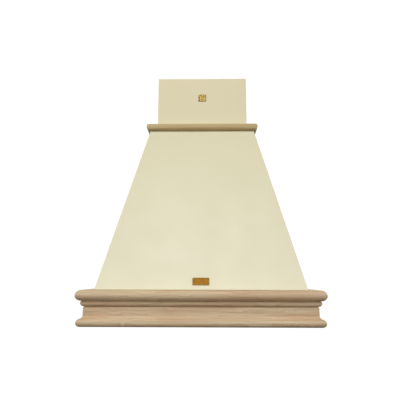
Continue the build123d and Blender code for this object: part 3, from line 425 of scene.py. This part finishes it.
def object_from(name, bm):
    bmesh.ops.remove_doubles(bm, verts=bm.verts, dist=1e-7)
    bmesh.ops.recalc_face_normals(bm, faces=bm.faces)
    soften(bm)
    mesh = bpy.data.meshes.new(name)
    bm.to_mesh(mesh)
    bm.free()
    obj = bpy.data.objects.new(name, mesh)
    bpy.context.scene.collection.objects.link(obj)
    return obj


def add_bevel(obj, width, segments=2):
    mod = obj.modifiers.new("ease", "BEVEL")
    mod.width = width
    mod.segments = segments
    mod.limit_method = "ANGLE"
    mod.angle_limit = SHARP
    mod.harden_normals = True


def dress(obj, mat, body, slot, *stands_for):
    """Material and body of a new piece, and the nodes that it stands in for; the slot argument is not
    used.
    """
    obj.data.materials.append(mat)
    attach(obj, body)
    if stands_for:
        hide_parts(*stands_for)
    return obj


def turn_to(direction, seat):
    """Matrix that takes +Z to a direction and the origin to a seat."""
    return Matrix.Translation(seat) @ direction.to_track_quat("Z", "Y").to_matrix().to_4x4()


def add_rings(bm, rings, matrix=Matrix.Identity(4), closed=False):
    """Skin over rings of points that all have the same count; a single point closes an end."""
    made = [[bm.verts.new(matrix @ Vector(p)) for p in ring] for ring in rings]
    faces = []
    for a, b in zip(made, made[1:] + (made[:1] if closed else [])):
        count = max(len(a), len(b))
        for i in range(count):
            j = (i + 1) % count
            if len(a) == 1:
                corners = [a[0], b[j], b[i]]
            elif len(b) == 1:
                corners = [a[i], a[j], b[0]]
            else:
                corners = [a[i], a[j], b[j], b[i]]
            faces.append(bm.faces.new(corners))
    return faces


def cap_ends(bm, rings):
    """Close both ends of the skin over rings that was added last."""
    bm.verts.ensure_lookup_table()
    rim = len(rings[0])
    first = len(bm.verts) - rim * len(rings)
    bm.faces.new(bm.verts[first:first + rim])
    bm.faces.new(bm.verts[-rim:])


def press_in(bm, patch, shift):
    """Sink a patch of faces and wall it round, in an order that is the same each run."""
    deep = {}
    for face in patch:
        for vert in face.verts:
            if vert not in deep:
                deep[vert] = bm.verts.new(vert.co + shift)
    for face in patch:
        bm.faces.new([deep[vert] for vert in face.verts])
        for loop in face.loops:
            if any(other not in patch for other in loop.edge.link_faces):
                here, there = loop.vert, loop.link_loop_next.vert
                bm.faces.new([here, there, deep[there], deep[here]])
    bmesh.ops.delete(bm, geom=patch, context="FACES")


def lathe_rings(profile, steps=64):
    rings = []
    for radius, height in profile:
        count = steps if radius > 0 else 1
        angles = [2 * math.pi * i / steps for i in range(count)]
        rings.append([(radius * math.cos(a), radius * math.sin(a), height) for a in angles])
    return rings


def islands(node):
    """Points of each loose part of a node's mesh."""
    bm = bmesh.new()
    bm.from_mesh(nodes[node].data)
    bmesh.ops.remove_doubles(bm, verts=bm.verts, dist=1e-6)
    left = set(bm.verts)
    parts = []
    for start in bm.verts:
        if start not in left:
            continue
        left.remove(start)
        part = []
        stack = [start]
        while stack:
            vert = stack.pop()
            part.append(vert.co.copy())
            for edge in vert.link_edges:
                other = edge.other_vert(vert)
                if other in left:
                    left.remove(other)
                    stack.append(other)
        parts.append(part)
    bm.free()
    return parts


def outer_face(node, towards):
    """Normal and a point of a node's largest face that looks a given way."""
    mesh = nodes[node].data
    towards = Vector(towards)
    best = max(mesh.polygons, key=lambda p: p.area * max(0.0, p.normal.dot(towards)) ** 4)
    return best.normal.copy(), best.center.copy()


# ---------------------------------------------------------------- carried-over nodes

def shading_group():
    """Geometry nodes that weld split corners and keep only sharp edges hard."""
    tree = bpy.data.node_groups.new("shade_by_angle", "GeometryNodeTree")
    for way in ("INPUT", "OUTPUT"):
        tree.interface.new_socket("Geometry", in_out=way, socket_type="NodeSocketGeometry")
    start = add(tree, "NodeGroupInput").outputs[0]
    welded = add(tree, "GeometryNodeMergeByDistance", {"Geometry": start, "Distance": 1e-6})
    smooth = add(tree, "GeometryNodeSetShadeSmooth", {"Geometry": welded.outputs[0],
                                                      "Shade Smooth": True}, domain="FACE")
    angle = add(tree, "GeometryNodeInputMeshEdgeAngle").outputs[0]
    sharp = calc(tree, "GREATER_THAN", angle, SHARP)
    hard = add(tree, "GeometryNodeSetShadeSmooth", {"Geometry": smooth.outputs[0],
                                                    "Selection": sharp, "Shade Smooth": False},
               domain="EDGE")
    end = add(tree, "NodeGroupOutput")
    tree.links.new(hard.outputs[0], end.inputs[0])
    return tree


def refine_node(node, group):
    """Clean shading and slightly rounded edges on a node's mesh."""
    obj = nodes[node]
    normals = obj.data.attributes.get("custom_normal")
    if normals:
        obj.data.attributes.remove(normals)
    obj.modifiers.new("shade", "NODES").node_group = group
    flat = obj.modifiers.new("flat", "DECIMATE")
    flat.decimate_type = "DISSOLVE"
    flat.angle_limit = math.radians(0.3)
    add_bevel(obj, EASE[slot_of[node]])


def set_finish(node, mat):
    nodes[node].data.materials.clear()
    nodes[node].data.materials.append(mat)


def finish_nodes():
    """Every node that stays gets its finish; painted boards get one that knows their face."""
    group = shading_group()
    faces = {"front_panel": (0, -1, 0.4), "left_side_panel": (-1, 0, 0.2),
             "right_side_panel": (1, 0, 0.2), "chimney_front": (0, -1, 0),
             "chimney_left_side": (-1, 0, 0), "chimney_right_side": (1, 0, 0)}
    for node, slot in slot_of.items():
        if nodes[node].hide_render:
            continue
        if node in faces and "panel" in node:
            mat = painted("ivory_" + node, CANOPY_IVORY_AND_SHADE, *CANOPY_SHADE_SPAN,
                          *outer_face(node, faces[node]))
        elif node in faces:
            mat = painted("ivory_" + node, CHIMNEY_IVORY_LIT_AND_SHADED, *CHIMNEY_SHADE_SPAN,
                          *outer_face(node, faces[node]))
        elif node == "brass_badge":
            mat = badge_finish()
        elif node in GRAIN_ACROSS:
            mat = pine_x
        else:
            mat = FINISH[slot]
        set_finish(node, mat)
        refine_node(node, group)


def badge_finish():
    outward, point = outer_face("front_panel", (0, -1, 0.4))
    proud = max(outward.dot(v.co - point) for v in nodes["brass_badge"].data.vertices)
    return badge_brass("badge", outward, point + outward * proud, BADGE_STEP)


# ---------------------------------------------------------------- mouldings

def cornice_profile(height):
    quirk_top = height - 2 * TOP_BEAD_R
    ovolo_top = quirk_top - QUIRK_H
    ovolo_centre = (OVOLO_INSET + OVOLO_R, ovolo_top - OVOLO_FLAT)
    groove_u = FASCIA_INSET + FASCIA_QUIRK_D
    ovolo = arc(ovolo_centre, OVOLO_R, 180,
                math.degrees(math.acos((ovolo_centre[0] - groove_u) / OVOLO_R)), 14)
    groove_z = ovolo[-1][1] - FASCIA_QUIRK_H
    bead_centre = (BASE_BEAD_INSET + BASE_BEAD_R, BASE_BEAD_R)
    cove_u = FASCIA_INSET - COVE_R
    shift = bead_centre[0] - cove_u
    rise = math.sqrt((BASE_BEAD_R + COVE_R) ** 2 - shift ** 2)
    meet = math.degrees(math.atan2(rise, -shift))
    return (arc((TOP_BEAD_R, height - TOP_BEAD_R), TOP_BEAD_R, 90, 180, 28)
            + [(TOP_BEAD_R, ovolo_top), (OVOLO_INSET, ovolo_top)]
            + ovolo + [(groove_u, groove_z), (FASCIA_INSET, groove_z)]
            + arc((cove_u, bead_centre[1] + rise), COVE_R, 0, meet - 180, 10)
            + arc(bead_centre, BASE_BEAD_R, meet, 270 - meet, 22)[1:]
            + [(CORNICE_T, 0.0), (CORNICE_T, height)])


def trim_profile(height, width):
    """Nose a little fuller than a half round, on a flat back."""
    half = height / 2
    nose = []
    for u, z in arc((0, 0), 1, 90, 180, 24):
        nose.append(tuple(half + half * math.copysign(abs(c) ** TRIM_FULLNESS, c) for c in (u, z)))
    return nose + [(width, 0.0), (width, height)]


def mitred_mouldings(stem, profile, mat_x, mat_y):
    """Front, left and right lengths in place of the three nodes that share a name stem."""
    low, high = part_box(stem + "_front")
    nose_x, nose_y, z0 = high.x, -low.y, low.z

    def corner(sign):
        return [(sign * (nose_x - u), u - nose_y, z0 + z) for u, z in profile]

    def wall_end(sign):
        return [(sign * (nose_x - u), 0.0, z0 + z) for u, z in profile]

    for side, start, end, mat in (("front", corner(-1), corner(1), mat_x),
                                  ("left", wall_end(-1), corner(-1), mat_y),
                                  ("right", corner(1), wall_end(1), mat_y)):
        node = f"{stem}_{side}"
        bm = bmesh.new()
        add_rings(bm, [start, end])
        cap_ends(bm, [start, end])
        piece = object_from(node + "_moulding", bm)
        add_bevel(piece, EASE["raw_beech"])
        dress(piece, mat, "cover", "raw_beech", node)


def make_mouldings():
    low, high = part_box("cornice_front")
    mitred_mouldings("cornice", cornice_profile(high.z - low.z), beech_x, beech_y)
    low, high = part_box("top_trim_front")
    mitred_mouldings("top_trim", trim_profile(high.z - low.z, high.y - low.y), trim_x, trim_y)


# ---------------------------------------------------------------- grease filters

def add_strand(bm, points, bar, sheet):
    """Tilted flat strand along a zigzag."""
    half_bar = Vector((0, math.cos(MESH_TILT), math.sin(MESH_TILT))) * bar / 2
    half_sheet = Vector((0, -math.sin(MESH_TILT), math.cos(MESH_TILT))) * sheet / 2
    rings = []
    for point in points:
        rings.append([point + half_bar + half_sheet, point - half_bar + half_sheet,
                      point - half_bar - half_sheet, point + half_bar - half_sheet])
    add_rings(bm, rings)
    cap_ends(bm, rings)


def add_expanded_layer(bm, x0, x1, y0, y1, z, scale, shift, pocket):
    """Rows of zigzag strands that touch their neighbours, left out where the latch pocket is."""
    step = MESH_PITCH_X * scale / 2
    rise = MESH_PITCH_Y * scale / 2
    columns = int((x1 - x0) / step)
    rows = int((y1 - y0) / rise)
    start = x0 + (x1 - x0 - columns * step) / 2
    for k in range(rows):
        y = y0 + (k + 0.5) * rise
        run = []
        for i in range(columns + 1):
            sign = -1 if (i + k) % 2 else 1
            x = start + i * step
            inside = pocket[0] < x < pocket[1] and y < pocket[2]
            if inside:
                if len(run) > 1:
                    add_strand(bm, run, MESH_BAR * scale, MESH_SHEET)
                run = []
            else:
                run.append(Vector((x, y + sign * rise / 2 + shift * MM, z)))
        if len(run) > 1:
            add_strand(bm, run, MESH_BAR * scale, MESH_SHEET)


def make_filter_meshes():
    """Three layers of expanded metal in place of each mesh pack."""
    for side in ("left", "right"):
        node = f"{side}_filter_mesh"
        low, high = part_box(node)
        latch_low, latch_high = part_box(f"{side}_filter_latch")
        pocket = (latch_low.x - LATCH_ROOM_X, latch_high.x + LATCH_ROOM_X,
                  latch_high.y + LATCH_ROOM_Y)
        bm = bmesh.new()
        for depth, scale, shift in MESH_LAYERS:
            z = low.z + depth * (high.z - low.z)
            add_expanded_layer(bm, low.x + MESH_MARGIN, high.x - MESH_MARGIN,
                               low.y + MESH_MARGIN, high.y - MESH_MARGIN, z, scale, shift,
                               pocket)
        piece = object_from(f"{side}_filter_weave", bm)
        dress(piece, aluminium, f"{side}_filter", "filter_aluminium", node)


# ---------------------------------------------------------------- lamps

def make_lamps():
    """Domed, ringed lens, reflector and LED in each lamp."""
    glass = None
    led = phosphor("led_phosphor")
    for side in ("left", "right"):
        low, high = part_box(f"{side}_lamp_lens")
        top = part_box(f"{side}_lamp_bezel")[1].z
        centre = (low + high) / 2
        radius = (high.x - low.x) / 2
        seat = Matrix.Translation((centre.x, centre.y, 0))
        glass = glass or fluted_glass("fluted_glass", centre.x, centre.y)
        lip = radius - 2.8 * MM
        lens = bmesh.new()
        bulge = [(lip * i / 8, low.z - LENS_BULGE * (1 - (i / 8) ** 2)) for i in range(1, 9)]
        profile = [(0, low.z - LENS_BULGE)] + bulge + [(radius, low.z), (radius, high.z),
                                                       (0, high.z)]
        add_rings(lens, lathe_rings(profile), seat)
        piece = object_from(f"{side}_lamp_dome", lens)
        dress(piece, glass, "cover", "lamp_glass", f"{side}_lamp_lens")
        cup = bmesh.new()
        floor_z = top - 4.5 * MM
        inner = [(LED_R + 2 * MM + (radius - LED_R - 3 * MM) * (i / 8) ** 0.6,
                  floor_z - (floor_z - high.z - 1 * MM) * i / 8) for i in range(9)]
        outer = [(r + REFLECTOR_T, z) for r, z in reversed(inner)]
        add_rings(cup, lathe_rings(inner + outer), seat, closed=True)
        dress(object_from(f"{side}_lamp_reflector", cup), chrome, "cover", "lamp_chrome")
        chip = bmesh.new()
        profile = [(0, floor_z - 1 * MM), (LED_R, floor_z - 1 * MM), (LED_R + 1.5 * MM, floor_z),
                   (LED_R + 1.5 * MM, top - 1.5 * MM), (0, top - 1.5 * MM)]
        add_rings(chip, lathe_rings(profile, 48), seat)
        dress(object_from(f"{side}_lamp_led", chip), led, "cover", "lamp_glass")


# ---------------------------------------------------------------- button marks

def add_disc(bm, x, y, z, radius):
    profile = [(0, z), (radius * 0.85, z), (radius, z + MARK_DEPTH / 2), (radius, z + 3 * MARK_DEPTH),
               (0, z + 3 * MARK_DEPTH)]
    add_rings(bm, lathe_rings(profile, 20), Matrix.Translation((x, y, 0)))


def add_ring_mark(bm, x, y, z):
    section = [(RING_R, z), (RING_R + RING_W, z), (RING_R + RING_W, z + 3 * MARK_DEPTH),
               (RING_R, z + 3 * MARK_DEPTH)]
    add_rings(bm, lathe_rings(section, 32), Matrix.Translation((x, y, 0)), closed=True)


def add_ray(bm, x, y, z, angle):
    """Short tapering stroke that points away from the centre."""
    along = Vector((math.cos(angle), math.sin(angle), 0))
    side = Vector((-along.y, along.x, 0))
    rings = []
    for reach, half in ((2.1 * MM, 0.3 * MM), (3.4 * MM, 0.16 * MM)):
        middle = Vector((x, y, z)) + along * reach
        lift = Vector((0, 0, 3 * MARK_DEPTH))
        rings.append([middle - side * half, middle + side * half, middle + side * half + lift,
                      middle - side * half + lift])
    add_rings(bm, rings)
    cap_ends(bm, rings)


def make_button_marks():
    """Sun on the light button, ring on the off button and one to three pips on the speeds."""
    pips = {"speed_1": 1, "speed_2": 2, "speed_3": 3}
    for body in ("light", "off", "speed_1", "speed_2", "speed_3"):
        low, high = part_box(body + "_button")
        x, y, z = (low.x + high.x) / 2, (low.y + high.y) / 2, low.z - MARK_DEPTH
        bm = bmesh.new()
        if body == "light":
            add_disc(bm, x, y, z, 1.3 * MM)
            for i in range(RAYS):
                add_ray(bm, x, y, z, 2 * math.pi * i / RAYS)
        elif body == "off":
            add_ring_mark(bm, x, y, z)
        else:
            count = pips[body]
            for i in range(count):
                add_disc(bm, x + (i - (count - 1) / 2) * PIP_PITCH, y, z, PIP_R)
        dress(object_from(body + "_mark", bm), dark_mark, body, "black_plastic")


# ---------------------------------------------------------------- screws and rivets

def recess_radius(angle):
    """Outline of a cross recess, from 0.36 between its arms to 1 at their tips."""
    return 0.36 + 0.64 * abs(math.cos(2 * angle)) ** 7


def add_pan_screw(bm, seat, outward, shank_r, shank_l, head_r, head_h):
    steps = 48
    matrix = turn_to(outward, seat)
    round_part = [(0, -shank_l), (shank_r * 0.5, -shank_l), (shank_r, -shank_l + shank_r),
                  (shank_r, 0), (head_r, 0), (head_r, head_h * 0.35), (head_r * 0.95, head_h * 0.62),
                  (head_r * 0.84, head_h * 0.84), (head_r * 0.68, head_h * 0.97),
                  (head_r * 0.60, head_h)]
    rings = lathe_rings(round_part, steps)
    for size, height in ((head_r * 0.55, head_h), (head_r * 0.42, head_h * 0.35)):
        ring = []
        for i in range(steps):
            angle = 2 * math.pi * i / steps
            reach = size * recess_radius(angle)
            ring.append((reach * math.cos(angle), reach * math.sin(angle), height))
        rings.append(ring)
    rings.append([(0, 0, head_h * 0.25)])
    add_rings(bm, rings, matrix)


def screw_from(points):
    """Seat, outward direction and sizes of a pan screw from the points of its plain solid."""
    low = Vector([min(p[k] for p in points) for k in range(3)])
    high = Vector([max(p[k] for p in points) for k in range(3)])
    size = high - low
    k = max(range(3), key=lambda i: size[i])
    centre = (low + high) / 2

    def spread(end):
        near = [p for p in points if abs(p[k] - end) < 1e-5]
        reach = [math.dist([c for i, c in enumerate(p) if i != k],
                           [c for i, c in enumerate(centre) if i != k]) for p in near]
        return max(reach)

    head_r = max(size[i] for i in range(3) if i != k) / 2
    tips = {end: spread(end) for end in (low[k], high[k])}
    shank_end = max(tips, key=lambda end: tips[end] if tips[end] < head_r * 0.6 else -1)
    head_end = low[k] if shank_end == high[k] else high[k]
    sign = 1 if head_end > shank_end else -1
    outward = Vector([sign if i == k else 0 for i in range(3)])
    return centre, outward, head_end, k, head_r, tips[shank_end], size[k]


def make_screws():
    """Cross-recessed pan heads in place of the plain ones."""
    for node, body in (("tray_screws", "cover"), ("collar_screws", "cover"),
                       ("chimney_screws", "chimney")):
        bm = bmesh.new()
        for points in islands(node):
            centre, outward, head_end, k, head_r, shank_r, long = screw_from(points)
            seat = centre.copy()
            seat[k] = head_end - outward[k] * SCREW_HEAD_H
            add_pan_screw(bm, seat, outward, shank_r, long - SCREW_HEAD_H, head_r,
                          SCREW_HEAD_H)
        dress(object_from(node + "_cross", bm), screw_steel, body, "zinc_screws", node)


def make_rivets():
    """Two columns of domed rivets on the back of the motor box's neck."""
    back_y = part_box("motor_box")[1].y
    bm = bmesh.new()
    out = Vector((0, 1, 0))
    profile = [(0, -0.5 * MM), (RIVET_R, -0.5 * MM), (RIVET_R, 0.2 * MM), (RIVET_R * 0.8, 0.8 * MM),
               (RIVET_R * 0.4, 1.05 * MM), (0, 1.1 * MM)]
    for i in range(RIVET_ROWS):
        for sign in (-1, 1):
            seat = Vector((sign * RIVET_X, back_y, RIVET_Z + i * RIVET_PITCH))
            add_rings(bm, lathe_rings(profile, 20), turn_to(out, seat))
    dress(object_from("motor_box_rivets", bm), screw_steel, "cover", "zinc_screws")


# ---------------------------------------------------------------- motor

def make_motor():
    """Two end bells on a laminated stator, with vent slots in the outer end."""
    low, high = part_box("motor_body")
    shaft_low, shaft_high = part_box("motor_shaft")
    radius = (high.z - low.z) / 2
    bore = (shaft_high.z - shaft_low.z) / 2 + 0.05 * MM
    centre = Vector((0, (low.y + high.y) / 2, (low.z + high.z) / 2))
    far, near, boss = low.x, high.x - 6 * MM, high.x
    stator_r = radius - 1.2 * MM
    s0, s1 = MOTOR_STATOR
    profile = [(0, far), (radius * 0.36, far), (radius * 0.40, far - 0.001 * MM),
               (radius * 0.78, far)] + [
        (radius - MOTOR_ROUND + MOTOR_ROUND * math.sin(math.radians(a)),
         far + MOTOR_ROUND - MOTOR_ROUND * math.cos(math.radians(a)))
        for a in (0, 22, 45, 68, 90)]
    profile += [(radius, s0 - 1 * MM), (radius - 0.6 * MM, s0), (stator_r, s0)]
    for i in range(MOTOR_PLATES):
        x = s0 + (s1 - s0) * (i + 0.5) / MOTOR_PLATES
        profile += [(stator_r, x - 0.6 * MM), (stator_r - 0.35 * MM, x)]
    profile += [(stator_r, s1), (radius - 0.6 * MM, s1), (radius, s1 + 1 * MM)]
    profile += [(radius - MOTOR_ROUND + MOTOR_ROUND * math.cos(math.radians(a)),
                 near - MOTOR_ROUND + MOTOR_ROUND * math.sin(math.radians(a)))
                for a in (0, 30, 60, 90)]
    profile += [(12 * MM, near), (12 * MM, boss - 0.6 * MM), (11.4 * MM, boss), (bore, boss),
                (bore, shaft_low.x - 0.3 * MM), (0, shaft_low.x - 0.3 * MM)]
    steps = 64
    bm = bmesh.new()
    matrix = turn_to(Vector((1, 0, 0)), centre)
    faces = add_rings(bm, lathe_rings(profile, steps), matrix)
    vents = faces[2 * steps:3 * steps]
    width = steps // MOTOR_SLOTS
    for first in range(0, steps, width):
        slot = vents[first:first + width * 5 // 8]
        press_in(bm, slot, Vector((MOTOR_SLOT_DEPTH, 0, 0)))
    dress(object_from("motor_housing", bm), enamel, "cover", "motor_steel", "motor_body")


# ---------------------------------------------------------------- stage, light and camera

def area_light(name, spot, aim, size, power):
    data = bpy.data.lights.new(name, "AREA")
    data.shape = "RECTANGLE"
    data.size, data.size_y = size
    data.energy = power
    light = bpy.data.objects.new(name, data)
    light.location = spot
    light.rotation_euler = (Vector(aim) - Vector(spot)).to_track_quat("-Z", "Y").to_euler()
    bpy.context.scene.collection.objects.link(light)


def make_world():
    """White to the camera; to the object a dim front and a bright rear, for the open back."""
    world = bpy.data.worlds.new("studio")
    bpy.context.scene.world = world
    world.use_nodes = True
    tree = world.node_tree
    tree.nodes.clear()
    way = add(tree, "ShaderNodeTexCoord").outputs["Generated"]
    parts = add(tree, "ShaderNodeSeparateXYZ", {0: way}).outputs
    above = remap(tree, parts[2], -0.2, 0.8, 0.13, 0.15)
    behind = remap(tree, parts[1], 0.1, 0.6, 0.0, 0.50)
    power = calc(tree, "ADD", above, behind)
    soft = add(tree, "ShaderNodeBackground", {"Color": (1.0, 0.93, 0.80, 1.0), "Strength": power})
    white = add(tree, "ShaderNodeBackground", {"Color": (1.0, 1.0, 1.0, 1.0), "Strength": 1.05})
    seen = add(tree, "ShaderNodeLightPath").outputs["Is Camera Ray"]
    blend = add(tree, "ShaderNodeMixShader", {0: seen, 1: soft.outputs[0], 2: white.outputs[0]})
    out = add(tree, "ShaderNodeOutputWorld")
    tree.links.new(blend.outputs[0], out.inputs["Surface"])


def make_camera():
    data = bpy.data.cameras.new("camera")
    data.sensor_width = 36.0
    data.lens = LENS
    camera = bpy.data.objects.new("camera", data)
    turn = Euler((math.radians(90 + CAMERA_PITCH), 0.0, math.radians(CAMERA_YAW))).to_matrix()
    roll = Matrix.Rotation(math.radians(CAMERA_ROLL), 3, "Z")
    camera.matrix_world = Matrix.Translation(CAMERA_PLACE) @ (turn @ roll).to_4x4()
    bpy.context.scene.collection.objects.link(camera)
    bpy.context.scene.camera = camera


make_mouldings()
make_filter_meshes()
make_lamps()
make_button_marks()
make_screws()
make_rivets()
make_motor()
finish_nodes()
make_world()
make_camera()
area_light("key", (0, -3.6, 3.6), (0, -0.35, 0.25), (2.4, 1.8), 126.0)
area_light("front", (0, -3.4, 0.45), (0, -0.35, 0.35), (2.4, 1.2), 16.5)
area_light("fill", (-3.0, -2.4, 1.4), (0, -0.35, 0.25), (1.8, 1.35), 22.0)
area_light("rear", (1.2, 3.0, 1.6), (0, -0.1, 0.3), (1.8, 1.4), 14.0)
scene = bpy.context.scene
scene.view_settings.view_transform = "Standard"
scene.view_settings.look = "None"
